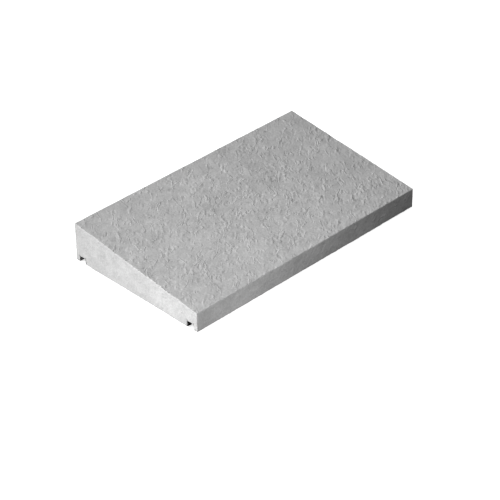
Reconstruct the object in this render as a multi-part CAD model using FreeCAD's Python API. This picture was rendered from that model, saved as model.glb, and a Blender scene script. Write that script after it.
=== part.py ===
"""Once-weathered coping stone, cast in concrete as one piece. Millimetres, +Z up.

The stone is one wedge-shaped section drawn straight from end to end: a flat bed, a low front
face, a high back face, and a top that falls from back to front, so that rain runs off one way.
A drip groove runs under each of the two long edges and out through both ends.

Origin: centre of the bed. +X runs along the stone, and +Y across it, from the low front face
to the high back face.
"""

import FreeCAD
import Part

import os

# Overall sizes
LENGTH = 600.0          # end face to end face
WIDTH = 340.0           # front face to back face
FRONT_HEIGHT = 44.0     # bed to the low edge of the top
BACK_HEIGHT = 86.0      # bed to the high edge of the top

# Drip grooves, one under each long edge
DRIP_LIP = 12.0         # solid lip between a groove and the outer face beside it
DRIP_WIDTH = 14.0       # groove from side to side
DRIP_DEPTH = 13.0       # bed to the roof of a groove
DRIP_ROOT_RADIUS = 2.0  # rounding where a groove's sides meet its roof

# Edges
ARRIS_RADIUS = 1.5      # rounding that the mould leaves on every outer edge

SAME_PLACE = 1e-6       # two coordinates closer than this are one


def drip_corners(face, inward):
    """Section corners (y, z) of one drip groove, from the lip beside an outer face inwards."""
    lip_side = face + inward * DRIP_LIP
    inner_side = lip_side + inward * DRIP_WIDTH
    return [(lip_side, 0.0), (lip_side, DRIP_DEPTH), (inner_side, DRIP_DEPTH), (inner_side, 0.0)]


def section_corners():
    """Corners (y, z) of the whole section, from the foot of the front face over the top and
    back along the bed, and the two corners of each groove's roof by themselves."""
    front = -WIDTH / 2
    back = WIDTH / 2
    over_the_top = [(front, 0.0), (front, FRONT_HEIGHT), (back, BACK_HEIGHT), (back, 0.0)]
    back_drip = drip_corners(back, inward=-1)
    front_drip = drip_corners(front, inward=1)
    outline = over_the_top + back_drip + front_drip[::-1]
    roof_corners = [corner for corner in back_drip + front_drip if corner[1] > 0.0]
    return outline, roof_corners


def drawn_to_length(outline):
    """The sharp-edged stone: the section drawn from one end to the other."""
    left_end = [FreeCAD.Vector(-LENGTH / 2, y, z) for y, z in outline]
    section = Part.Face(Part.makePolygon(left_end + left_end[:1]))
    return section.extrude(FreeCAD.Vector(LENGTH, 0, 0))


def runs_at(edge, corners):
    """Whether an edge runs along the stone through one of these section corners."""
    box = edge.BoundBox
    return box.YLength < SAME_PLACE and box.ZLength < SAME_PLACE and any(
        abs(box.YMin - y) < SAME_PLACE and abs(box.ZMin - z) < SAME_PLACE for y, z in corners
    )


def lies_in_an_end(edge):
    """Whether an edge lies in one of the two end faces."""
    return edge.BoundBox.XLength < SAME_PLACE


def coping_stone():
    """The finished stone, with its groove roofs and then all its outer edges rounded."""
    outline, roof_corners = section_corners()
    outer_corners = [corner for corner in outline if corner not in roof_corners]
    stone = drawn_to_length(outline)
    roots = [edge for edge in stone.Edges if runs_at(edge, roof_corners)]
    stone = stone.makeFillet(DRIP_ROOT_RADIUS, roots)
    arrises = [edge for edge in stone.Edges if lies_in_an_end(edge) or runs_at(edge, outer_corners)]
    return stone.makeFillet(ARRIS_RADIUS, arrises)


os.makedirs("parts", exist_ok=True)
coping_stone().exportStep("parts/coping_stone.step")
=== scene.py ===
"""Looks of a once-weathered coping stone of cast concrete. Blender 4.5, metres, +Z up.

One dense mesh stands for the stone: its section swept from end to end, closed by the two end
faces, and worn back by about a millimetre to a creased and stippled top, smoother sides and ends,
a few blowholes and slightly chipped arrises. A procedural concrete covers it.
"""

import math
import random

import bpy
import numpy as np
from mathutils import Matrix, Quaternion, Vector, noise
from mathutils.geometry import delaunay_2d_cdt


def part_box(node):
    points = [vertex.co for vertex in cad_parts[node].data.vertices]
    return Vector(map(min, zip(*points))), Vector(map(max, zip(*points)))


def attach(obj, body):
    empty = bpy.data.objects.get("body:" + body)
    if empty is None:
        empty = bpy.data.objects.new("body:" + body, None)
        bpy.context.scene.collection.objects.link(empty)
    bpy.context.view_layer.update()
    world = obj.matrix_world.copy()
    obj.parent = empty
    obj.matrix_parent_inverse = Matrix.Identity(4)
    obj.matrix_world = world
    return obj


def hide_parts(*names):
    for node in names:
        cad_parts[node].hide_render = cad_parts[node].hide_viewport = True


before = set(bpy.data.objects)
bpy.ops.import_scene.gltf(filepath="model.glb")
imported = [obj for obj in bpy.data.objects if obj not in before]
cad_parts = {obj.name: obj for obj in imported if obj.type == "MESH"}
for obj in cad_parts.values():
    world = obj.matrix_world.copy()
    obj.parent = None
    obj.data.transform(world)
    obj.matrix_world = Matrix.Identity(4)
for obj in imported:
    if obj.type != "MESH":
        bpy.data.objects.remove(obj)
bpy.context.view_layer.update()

MM = 0.001
NODE = "coping_stone"
LOW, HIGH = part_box(NODE)

# Section of the stone, across it (Y) and up (Z)
FRONT = LOW.y
BACK = HIGH.y
FRONT_HEIGHT = 44 * MM
BACK_HEIGHT = 86 * MM
DRIP_LIP = 12 * MM
DRIP_WIDTH = 14 * MM
DRIP_DEPTH = 13 * MM
DRIP_ROOT_RADIUS = 2 * MM
ARRIS_RADIUS = 1.5 * MM
END_ARRIS_RADIUS = 1.3 * MM

# Mesh: spacing of its points, and the gap between an end face's outline and the points inside it
TOP_SPACING = 1.85 * MM
ALONG_SPACING = 1.85 * MM
SIDE_SPACING = 2.8 * MM
BED_SPACING = 24 * MM
END_SPACING = 2.6 * MM
END_GAP = 0.6 * END_SPACING
ARC_STEPS = 2
SAME_PLACE = 1e-7           # distance within which two points are one

# Relief of the cast surface: heights about its mean level on the top, and sizes of its features
WEAR = 1.0 * MM             # depth of the mean level below the unworn stone
CURL_HEIGHT = 0.9 * MM
CURL_SIZE = 10 * MM
CURL_BEND = 6 * MM
CURL_WIDTH = 0.2            # in the noise that the curls are drawn from, where each runs along 0
LEAN_SIZE = 14 * MM         # length of the stretches that stand out as ridges or lie in as dents
RIDGE_LEAN = (0.0, 0.2)     # noise at which a ridge begins and is whole
DENT_LEAN = (0.1, 0.3)      # the same for a dent, with the sign turned
DENT_SHARE = 0.6
GRAIN_HEIGHT = 0.45 * MM
GRAIN_SIZE = 5 * MM
SWELL_HEIGHT = 0.5 * MM
SWELL_SIZE = 40 * MM

# Strength of the finish: in clumps, from the front left, and as a share of the top's on other faces
CLUMP_SIZE = 15 * MM
CLUMP_EDGE = (-0.2, 0.2)    # noise at which a clump begins and is whole
CALM_SHARE = 0.2            # left between the clumps
STRENGTH = 1.06             # at the front left
STRENGTH_ALONG = 0.2        # gained by the right end
STRENGTH_ACROSS = -0.32     # lost by the back
END_SHARE = 0.75
SIDE_SHARE = 0.6
FACING = (0.35, 0.9)        # part of a normal at which a face's finish begins and is whole

# Way that the strokes of the finish run across the top, turned from +X, and how much longer they are
# that way than crosswise
SLANT = math.radians(45)
STRETCH = 1.9

# Chips along the arrises
CHIP_DEPTH = 0.4 * MM
CHIP_SIZE = 17 * MM
CHIP_EDGE = (0.2, 0.8)      # noise at which a chip begins and is deepest

# Blowholes in the top
PIT_COUNT = 24
PIT_SEED = 7
PIT_DEPTH = 1.0 * MM
PIT_DEPTH_SHARES = (0.4, 1.0)
PIT_RADII = (2.0 * MM, 3.6 * MM)
PIT_SLIMNESS = (0.4, 0.9)   # width by length
PIT_FLOOR = 0.2             # share of the radius that is flat
PIT_RAGGED = 0.8
PIT_RAGGED_SIZE = 4 * MM

# Painted shade and highlight in the concrete's colour, from below 0, a painted highlight on a crest, to
# 1, painted shade in a groove
# painted highlight on crests, paler the higher they stand
PAINTED_HIGHLIGHT_SPAN = 7 * MM          # height of a crest that would be at -1
# most painted shade in a dent
DENT_PAINTED_SHADE = 0.03
# painted shade in blowholes, as a share of their depth
PIT_PAINTED_SHADE = 0.5

# Concrete: sizes of its markings
CLOUD_SIZE = 70 * MM
MOTTLE_SIZE = 18 * MM
SAND_SIZE = 3 * MM
STIPPLE_SIZE = 6.2 * MM
CREASE_SIZE = 18 * MM
CREASE_WIDTH = 0.065        # in the noise that the creases are drawn from, where each runs along 0.5

# Concrete: its greys, and the tone between them, from 0 to 1, with what each marking adds
DARKEST = 0.02
LIGHTEST = 0.64
BASE_TONE = 0.23
# painted shade and highlight: darkens dents, blowholes and drip grooves, lightens crests
PAINTED_SHADING_TONE = -0.5
CLOUD_TONE = 0.2
MOTTLE_TONE = 0.24
SAND_TONE = 0.4

# Concrete: its bump, with the share that each marking adds
BUMP_HEIGHT = 1.6 * MM
SAND_BUMP = 0.06
STIPPLE_BUMP = 0.7
CREASE_BUMP = 0.36
BUMP_LEVEL = -0.42          # keeps the mean of stipple and creases at 0, so that no clump stands out

# Concrete: its gloss
ROUGHNESS = 0.8
MOTTLE_ROUGHNESS = 0.2
SPECULAR = 0.25

# Floor
FLOOR_REACH = 20.0
FLOOR_GREY = 0.7
FLOOR_GLOW = 0.75

# Soft lights: place, point that each faces, diameter and power in watts
SOFTBOXES = {
    "key": ((-2.66, 2.23, 1.5), (-0.1, 0.0, 0.05), 0.6, 162.0),
    "end_lamp": ((-0.75, -0.14, 0.03), (-0.3, -0.05, 0.03), 0.05, 1.86),
    "far_end_lamp": ((0.75, 0.04, 0.03), (0.3, 0.0, 0.04), 0.05, 1.3),
    "front_top": ((-0.3, -0.62, 0.86), (0.0, 0.0, 0.04), 0.4, 4.3),
    "front_lamp": ((-0.2, -0.49, 0.04), (-0.2, -0.17, 0.03), 0.07, 0.52),
    "back_fill": ((0.9, 1.3, 0.45), (0.0, 0.1, 0.04), 0.8, 4.0),
}
OVERHEAD_POWER = 0.68
OVERHEAD_SPREAD = math.radians(35)
OVERHEAD_WAY = Vector((-0.2, -0.3, -1.0))
SKY_STRENGTH = 0.1
SKY_RISE = 0.05             # height over the horizon at which the sky is whole

# Camera, fitted to the photograph
CAMERA_PLACE = Vector((-2.4100, -2.4382, 2.2962))
CAMERA_HEADING = math.radians(45.254)
CAMERA_TILT = math.radians(34.288)
CAMERA_ROLL = math.radians(-0.312)
CAMERA_LENS = 150.26
CAMERA_SENSOR = 36.0


def smooth_step(value, low, high):
    """0 below low, 1 above high, and a smooth rise between them."""
    share = np.clip((value - low) / (high - low), 0.0, 1.0)
    return share * share * (3.0 - 2.0 * share)


def grey(value):
    """A neutral colour."""
    return (value, value, value, 1.0)


def top_height(y):
    """Height of the sloping top at a place across the stone."""
    return FRONT_HEIGHT + (BACK_HEIGHT - FRONT_HEIGHT) * (y - FRONT) / (BACK - FRONT)


def drip_corners(face, inward):
    """Section corners of one drip groove, from the lip beside an outer face inwards."""
    lip = face + inward * DRIP_LIP
    inner = lip + inward * DRIP_WIDTH
    return [(lip, 0.0), (lip, DRIP_DEPTH), (inner, DRIP_DEPTH), (inner, 0.0)]


def section_corners():
    """Corners of the section from the foot of the front face over the top and back along the bed,
    and the spacing of points along the run that follows each."""
    over_the_top = [(FRONT, 0.0), (FRONT, FRONT_HEIGHT), (BACK, BACK_HEIGHT), (BACK, 0.0)]
    corners = over_the_top + drip_corners(BACK, -1) + drip_corners(FRONT, 1)[::-1]
    spacings = [SIDE_SPACING, TOP_SPACING, SIDE_SPACING]
    spacings += [BED_SPACING] * (len(corners) - len(spacings))
    return [Vector(corner) for corner in corners], spacings


def rounded_corner(before, corner, after):
    """Points of the arc that rounds a corner, with their outward normals. Only the roof corners of
    the grooves turn inwards."""
    way_in = (corner - before).normalized()
    way_out = (after - corner).normalized()
    turn = way_in.angle_signed(way_out)
    side = math.copysign(1.0, turn)
    radius = ARRIS_RADIUS if turn > 0 else DRIP_ROOT_RADIUS
    start = corner - way_in * radius * math.tan(abs(turn) / 2)
    left = Vector((-way_in.y, way_in.x))
    centre = start - left * side * radius
    points = []
    for step in range(ARC_STEPS + 1):
        angle = -turn * step / ARC_STEPS
        normal = Vector((
            left.x * math.cos(angle) - left.y * math.sin(angle),
            left.x * math.sin(angle) + left.y * math.cos(angle),
        ))
        points.append((centre + normal * side * radius, normal, True))
    return points


def section_ring():
    """Points (y, z) round the section, their outward normals, and which lie on a rounding."""
    corners, spacings = section_corners()
    count = len(corners)
    arcs = [rounded_corner(corners[i - 1], corners[i], corners[(i + 1) % count]) for i in range(count)]
    ring = []
    for i in range(count):
        ring += arcs[i]
        start, normal, _ = arcs[i][-1]
        run = arcs[(i + 1) % count][0][0] - start
        steps = max(1, round(run.length / spacings[i]))
        ring += [(start + run * step / steps, normal, False) for step in range(1, steps)]
    points, normals, rounded = zip(*ring)
    return np.array(points), np.array(normals), np.array(rounded)


def stations():
    """Places along the stone, how far the section is drawn in there, and the lean of the surface
    along the stone, from -1 in the left end face over 0 between the ends to 1 in the right one."""
    angles = [math.pi / 2 * step / ARC_STEPS for step in range(ARC_STEPS, 0, -1)]
    inset = [END_ARRIS_RADIUS * (1 - math.cos(angle)) for angle in angles]
    from_end = [END_ARRIS_RADIUS * (1 - math.sin(angle)) for angle in angles]
    lean = [math.sin(angle) for angle in angles]
    straight = HIGH.x - LOW.x - 2 * END_ARRIS_RADIUS
    steps = round(straight / ALONG_SPACING)
    middle = [LOW.x + END_ARRIS_RADIUS + straight * step / steps for step in range(steps + 1)]
    places = [LOW.x + far for far in from_end] + middle + [HIGH.x - far for far in from_end[::-1]]
    insets = inset + [0.0] * len(middle) + inset[::-1]
    leans = [-value for value in lean] + [0.0] * len(middle) + lean[::-1]
    return np.array(places), np.array(insets), np.array(leans)


def inside_end_face(y, z):
    """Whether a point of an end face lies clear of the face's outline."""
    clear = END_ARRIS_RADIUS + END_GAP
    if not (FRONT + clear < y < BACK - clear and clear < z < top_height(y) - clear):
        return False
    from_face = min(y - FRONT, BACK - y)
    beside_groove = DRIP_LIP - clear < from_face < DRIP_LIP + DRIP_WIDTH + clear
    return not (beside_groove and z < DRIP_DEPTH + clear)


def end_face_mesh(outline):
    """Points inside an end face and the triangles that fill it, whose numbers count the outline's
    points first. Seen from +X the triangles run anticlockwise."""
    rows = np.arange(0.0, BACK_HEIGHT, END_SPACING)
    columns = np.arange(FRONT, BACK, END_SPACING)
    staggered = [(y + END_SPACING / 2 * (row % 2), z) for row, z in enumerate(rows) for y in columns]
    inner = [point for point in staggered if inside_end_face(*point)]
    points = [Vector(point) for point in outline] + [Vector(point) for point in inner]
    loop = list(range(len(outline)))[::-1]
    inside_only = 1
    found = delaunay_2d_cdt(points, [], [loop], inside_only, SAME_PLACE)
    source = [numbers[0] for numbers in found[3]]
    triangles = [[source[corner] for corner in face] for face in found[2]]
    return np.array(inner), triangles


def stone_shape():
    """Points, normals and faces of the unworn stone, and which points lie on a rounding."""
    ring, ring_normals, rounded = section_ring()
    places, insets, leans = stations()
    across = np.sqrt(1.0 - leans ** 2)
    drawn_in = ring[None] - ring_normals[None] * insets[:, None, None]
    count = len(ring)
    along = np.broadcast_to(places[:, None, None], (len(places), count, 1))
    points = np.concatenate([along, drawn_in], 2).reshape(-1, 3)
    lean = np.broadcast_to(leans[:, None, None], (len(places), count, 1))
    normals = np.concatenate([lean, ring_normals[None] * across[:, None, None]], 2).reshape(-1, 3)
    on_arris = (rounded[None] | (leans != 0)[:, None]).reshape(-1)
    faces = []
    for start in range(0, (len(places) - 1) * count, count):
        for this in range(count):
            after = (this + 1) % count
            faces.append((start + this, start + count + this, start + count + after, start + after))
    inner, triangles = end_face_mesh(drawn_in[0])
    last_ring = (len(places) - 1) * count
    for first, end, facing in ((0, LOW.x, -1), (last_ring, HIGH.x, 1)):
        added = len(points) - count
        ends = [[number + (first if number < count else added) for number in face] for face in triangles]
        faces += [face[::facing] for face in ends]
        points = np.vstack([points, np.column_stack([np.full(len(inner), end), inner])])
        normals = np.vstack([normals, np.tile((facing, 0.0, 0.0), (len(inner), 1))])
        on_arris = np.append(on_arris, np.zeros(len(inner), bool))
    return points, normals, faces, on_arris


def wave(points, size, shift, octaves=1):
    """Noise of about -1 to 1 at each point, with bumps about a size across. Its shift sets each
    noise apart from the others."""
    offset = Vector((shift, 2 * shift, 3 * shift))
    decay = 1.0
    ratio = 2.0
    places = [Vector(point) / size + offset for point in points]
    return np.array([noise.fractal(place, decay, ratio, octaves) for place in places])


def slanted(points):
    """Places drawn together along the slant, so that what is laid out by them is longer that way."""
    way = np.array([math.cos(SLANT), math.sin(SLANT), 0.0])
    return points - (points @ way)[:, None] * way * (1.0 - 1.0 / STRETCH)


def curls(points):
    """Short curly ridges, up to 1, and shallower dents between them."""
    bend = np.column_stack([wave(points, CURL_SIZE, shift) for shift in (11.0, 23.0, 37.0)])
    off_line = np.abs(wave(points + bend * CURL_BEND, CURL_SIZE, shift=5.0))
    lines = 1.0 - smooth_step(off_line, 0.0, CURL_WIDTH)
    lean = wave(points, LEAN_SIZE, shift=51.0)
    return lines * (smooth_step(lean, *RIDGE_LEAN) - DENT_SHARE * smooth_step(-lean, *DENT_LEAN))


def pits(points):
    """Depth of the ragged blowholes in the top at each point, as a share of the deepest."""
    draw = random.Random(PIT_SEED)
    depth = np.zeros(len(points))
    ragged = 1.0 + PIT_RAGGED * wave(points, PIT_RAGGED_SIZE, shift=131.0)
    for _ in range(PIT_COUNT):
        centre = np.array([draw.uniform(LOW.x, HIGH.x), draw.uniform(FRONT, BACK)])
        radius = draw.uniform(*PIT_RADII)
        turn = draw.uniform(0.0, math.pi)
        along = (points[:, :2] - centre) @ (math.cos(turn), math.sin(turn))
        across = (points[:, :2] - centre) @ (-math.sin(turn), math.cos(turn))
        far = np.hypot(along * draw.uniform(*PIT_SLIMNESS), across) * ragged
        pit = draw.uniform(*PIT_DEPTH_SHARES) * (1.0 - smooth_step(far, PIT_FLOOR * radius, radius))
        depth = np.maximum(depth, pit)
    return depth


def in_groove(points):
    """Which points lie in a drip groove, where the colour takes painted shade."""
    from_face = np.minimum(points[:, 1] - FRONT, BACK - points[:, 1])
    past_lip = from_face > DRIP_LIP - END_ARRIS_RADIUS
    before_bed = from_face < DRIP_LIP + DRIP_WIDTH + END_ARRIS_RADIUS
    return past_lip & before_bed & (points[:, 2] < DRIP_DEPTH + END_ARRIS_RADIUS)


def clump_strength(points):
    """How strong the finish is at each point, about 1 in a clump and less between the clumps."""
    clumps = smooth_step(wave(points, CLUMP_SIZE, shift=71.0, octaves=2), *CLUMP_EDGE)
    along = (points[:, 0] - LOW.x) / (HIGH.x - LOW.x)
    across = (points[:, 1] - FRONT) / (BACK - FRONT)
    strength = CALM_SHARE + (1.0 - CALM_SHARE) * clumps
    return strength * (STRENGTH + STRENGTH_ALONG * along + STRENGTH_ACROSS * across)


def worn_back(points, normals, on_arris):
    """How far each point is worn back from the unworn stone, in metres, the painted shade and highlight
    of its colour there, from below 0, a painted highlight on a crest, to 1, painted shade in a groove,
    and how stippled it is, from 0 to about 1."""
    upward = smooth_step(normals[:, 2], *FACING)
    endward = smooth_step(np.abs(normals[:, 0]), *FACING)
    share = SIDE_SHARE + (1.0 - SIDE_SHARE) * upward + (END_SHARE - SIDE_SHARE) * endward
    clumps = clump_strength(points)
    along_slant = slanted(points)
    grain = GRAIN_HEIGHT * wave(along_slant, GRAIN_SIZE, shift=3.0)
    raised = clumps * (CURL_HEIGHT * curls(along_slant) + grain)
    raised += SWELL_HEIGHT * wave(points, SWELL_SIZE, shift=91.0, octaves=2)
    holes = pits(points) * upward
    chips = on_arris * smooth_step(wave(points, CHIP_SIZE, shift=171.0, octaves=2), *CHIP_EDGE)
    depth = np.clip(share * (WEAR - raised), 0.0, None) + PIT_DEPTH * holes + CHIP_DEPTH * chips
    # Painted highlight on crests and a little painted shade in dents, by the height of the relief
    painted_shade_and_highlight = np.minimum(-share * raised / PAINTED_HIGHLIGHT_SPAN, DENT_PAINTED_SHADE)
    # Painted shade: blowholes darkened by their depth, drip grooves darkened all over
    painted_shade_and_highlight = np.maximum(np.maximum(painted_shade_and_highlight, PIT_PAINTED_SHADE * holes), in_groove(points))
    return depth, painted_shade_and_highlight, share * clumps


def stone_mesh():
    """The worn stone as a mesh, with its painted shade and highlight and how stippled it is in two
    attributes.
    """
    points, normals, faces, on_arris = stone_shape()
    depth, painted_shade_and_highlight, stippled = worn_back(points, normals, on_arris)
    mesh = bpy.data.meshes.new("stone")
    mesh.from_pydata((points - normals * depth[:, None]).tolist(), [], faces)
    for name, values in (("painted_shade_and_highlight", painted_shade_and_highlight), ("stippled", stippled)):
        attribute = mesh.attributes.new(name, "FLOAT", "POINT")
        attribute.data.foreach_set("value", values.astype(np.float32))
    mesh.shade_smooth()
    mesh.validate()
    return mesh


def add_node(tree, kind, inputs, **settings):
    """A new node, each of its inputs set to a value or linked to another node's output."""
    node = tree.nodes.new(kind)
    for name, value in settings.items():
        setattr(node, name, value)
    for name, value in inputs.items():
        if isinstance(value, bpy.types.NodeSocket):
            tree.links.new(value, node.inputs[name])
        else:
            node.inputs[name].default_value = value
    return node


def add_attribute(tree, name):
    """One of the mesh's attributes."""
    return add_node(tree, "ShaderNodeAttribute", {}, attribute_name=name).outputs["Fac"]


def add_noise(tree, place, size, detail, distortion=0.0):
    """Noise of 0 to 1 with blotches of about a size."""
    inputs = {"Vector": place, "Scale": 1.0 / size, "Detail": detail, "Distortion": distortion}
    return add_node(tree, "ShaderNodeTexNoise", inputs).outputs["Fac"]


def add_scaled(tree, value, factor, addend):
    """value * factor + addend."""
    inputs = {0: value, 1: factor, 2: addend}
    return add_node(tree, "ShaderNodeMath", inputs, operation="MULTIPLY_ADD").outputs[0]


def add_creases(tree, place):
    """Ragged thin creases, 1 along each crest and 0 away from it."""
    lines = add_noise(tree, place, CREASE_SIZE, detail=2.0, distortion=0.5)
    lines = add_scaled(tree, lines, 1.0, -0.5)
    off_crest = add_node(tree, "ShaderNodeMath", {0: lines}, operation="ABSOLUTE").outputs[0]
    inputs = {"Value": off_crest, "From Max": CREASE_WIDTH, "To Min": 1.0, "To Max": 0.0}
    return add_node(tree, "ShaderNodeMapRange", inputs, interpolation_type="SMOOTHSTEP").outputs[0]


def add_colour(tree, place, mottle, sand):
    """Neutral grey, clouded, mottled and sandy, with painted shade in dents, blowholes and drip grooves
    and a painted highlight on crests.
    """
    clouds = add_noise(tree, place, CLOUD_SIZE, detail=3.0)
    # Painted shade and painted highlight, read from the mesh attribute
    tone = add_scaled(tree, add_attribute(tree, "painted_shade_and_highlight"), PAINTED_SHADING_TONE, BASE_TONE)
    tone = add_scaled(tree, clouds, CLOUD_TONE, tone)
    tone = add_scaled(tree, mottle, MOTTLE_TONE, tone)
    tone = add_scaled(tree, sand, SAND_TONE, tone)
    ramp = add_node(tree, "ShaderNodeValToRGB", {"Fac": tone})
    dark, light = ramp.color_ramp.elements
    dark.color = grey(DARKEST)
    light.color = grey(LIGHTEST)
    return ramp.outputs["Color"]


def add_bump(tree, place, sand):
    """Sand all over, and stipple and creases along the slant, as strong as the finish is there."""
    turned = {"Vector": place, "Rotation": (0.0, 0.0, SLANT), "Scale": (STRETCH, 1.0, 1.0)}
    slant = add_node(tree, "ShaderNodeMapping", turned, vector_type="TEXTURE").outputs["Vector"]
    stipple = add_noise(tree, slant, STIPPLE_SIZE, detail=0.5, distortion=0.4)
    strokes = add_scaled(tree, stipple, STIPPLE_BUMP, BUMP_LEVEL)
    strokes = add_scaled(tree, add_creases(tree, slant), CREASE_BUMP, strokes)
    grains = add_scaled(tree, sand, SAND_BUMP, 0.0)
    height = add_scaled(tree, strokes, add_attribute(tree, "stippled"), grains)
    inputs = {"Height": height, "Strength": 1.0, "Distance": BUMP_HEIGHT}
    return add_node(tree, "ShaderNodeBump", inputs).outputs["Normal"]


def concrete():
    """Cast concrete: neutral grey, matt, sandy, stippled and creased."""
    material = bpy.data.materials.new("concrete")
    material.use_nodes = True
    tree = material.node_tree
    shader = tree.nodes["Principled BSDF"]
    place = add_node(tree, "ShaderNodeTexCoord", {}).outputs["Object"]
    mottle = add_noise(tree, place, MOTTLE_SIZE, detail=4.0)
    sand = add_noise(tree, place, SAND_SIZE, detail=2.0)
    tree.links.new(add_colour(tree, place, mottle, sand), shader.inputs["Base Color"])
    tree.links.new(add_bump(tree, place, sand), shader.inputs["Normal"])
    tree.links.new(add_scaled(tree, mottle, MOTTLE_ROUGHNESS, ROUGHNESS), shader.inputs["Roughness"])
    shader.inputs["Specular IOR Level"].default_value = SPECULAR
    return material


def add_stone():
    """The dressed stone, which rides on the only body and stands for its node."""
    stone = bpy.data.objects.new("stone", stone_mesh())
    bpy.context.scene.collection.objects.link(stone)
    stone.data.materials.append(concrete())
    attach(stone, "root")
    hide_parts(NODE)


def floor_paint():
    """Matt paint that glows a little, so that the floor is as pale as the surround."""
    material = bpy.data.materials.new("floor")
    material.use_nodes = True
    shader = material.node_tree.nodes["Principled BSDF"]
    shader.inputs["Base Color"].default_value = grey(FLOOR_GREY)
    shader.inputs["Roughness"].default_value = 1.0
    shader.inputs["Specular IOR Level"].default_value = 0.0
    shader.inputs["Emission Color"].default_value = grey(1.0)
    shader.inputs["Emission Strength"].default_value = FLOOR_GLOW
    return material


def add_floor():
    """A plain pale floor, which lights nothing by itself."""
    mesh = bpy.data.meshes.new("floor")
    reach = FLOOR_REACH
    corners = [(-reach, -reach, 0.0), (reach, -reach, 0.0), (reach, reach, 0.0), (-reach, reach, 0.0)]
    mesh.from_pydata(corners, [], [(0, 1, 2, 3)])
    mesh.materials.append(floor_paint())
    floor = bpy.data.objects.new("floor", mesh)
    bpy.context.scene.collection.objects.link(floor)
    floor.visible_diffuse = False
    floor.visible_glossy = False


def add_softbox(name, place, target, size, power):
    """A round area light at a place, facing a target."""
    lamp = bpy.data.lights.new(name, "AREA")
    lamp.shape = "DISK"
    lamp.size = size
    lamp.energy = power
    light = bpy.data.objects.new(name, lamp)
    light.location = place
    light.rotation_mode = "QUATERNION"
    light.rotation_quaternion = (Vector(target) - Vector(place)).to_track_quat("-Z", "Y")
    light.visible_camera = False
    bpy.context.scene.collection.objects.link(light)


def add_overhead():
    """Wide soft light from above."""
    sun = bpy.data.lights.new("overhead", "SUN")
    sun.energy = OVERHEAD_POWER
    sun.angle = OVERHEAD_SPREAD
    light = bpy.data.objects.new("overhead", sun)
    light.rotation_mode = "QUATERNION"
    light.rotation_quaternion = OVERHEAD_WAY.to_track_quat("-Z", "Y")
    bpy.context.scene.collection.objects.link(light)


def add_world():
    """A dim sky with nothing below it, white where the camera looks past the floor."""
    world = bpy.data.worlds.new("surround")
    world.use_nodes = True
    tree = world.node_tree
    background = tree.nodes["Background"]
    background.inputs["Color"].default_value = grey(1.0)
    ray = add_node(tree, "ShaderNodeTexCoord", {}).outputs["Generated"]
    rise = add_node(tree, "ShaderNodeSeparateXYZ", {"Vector": ray}).outputs["Z"]
    inputs = {"Value": rise, "From Max": SKY_RISE, "To Max": SKY_STRENGTH}
    sky = add_node(tree, "ShaderNodeMapRange", inputs).outputs["Result"]
    seen = add_node(tree, "ShaderNodeLightPath", {}).outputs["Is Camera Ray"]
    strength = add_node(tree, "ShaderNodeMath", {0: sky, 1: seen}, operation="MAXIMUM")
    tree.links.new(strength.outputs[0], background.inputs["Strength"])
    bpy.context.scene.world = world


def add_camera():
    """The photograph's view of the stone, from the front left and above."""
    data = bpy.data.cameras.new("camera")
    data.lens = CAMERA_LENS
    data.sensor_width = CAMERA_SENSOR
    camera = bpy.data.objects.new("camera", data)
    ahead = Vector((
        math.cos(CAMERA_HEADING) * math.cos(CAMERA_TILT),
        math.sin(CAMERA_HEADING) * math.cos(CAMERA_TILT),
        -math.sin(CAMERA_TILT),
    ))
    camera.location = CAMERA_PLACE
    camera.rotation_mode = "QUATERNION"
    level = ahead.to_track_quat("-Z", "Y")
    camera.rotation_quaternion = level @ Quaternion((0.0, 0.0, 1.0), CAMERA_ROLL)
    bpy.context.scene.collection.objects.link(camera)
    bpy.context.scene.camera = camera


bpy.context.scene.view_settings.view_transform = "Standard"
add_stone()
add_floor()
for name, (place, target, size, power) in SOFTBOXES.items():
    add_softbox(name, place, target, size, power)
add_overhead()
add_world()
add_camera()
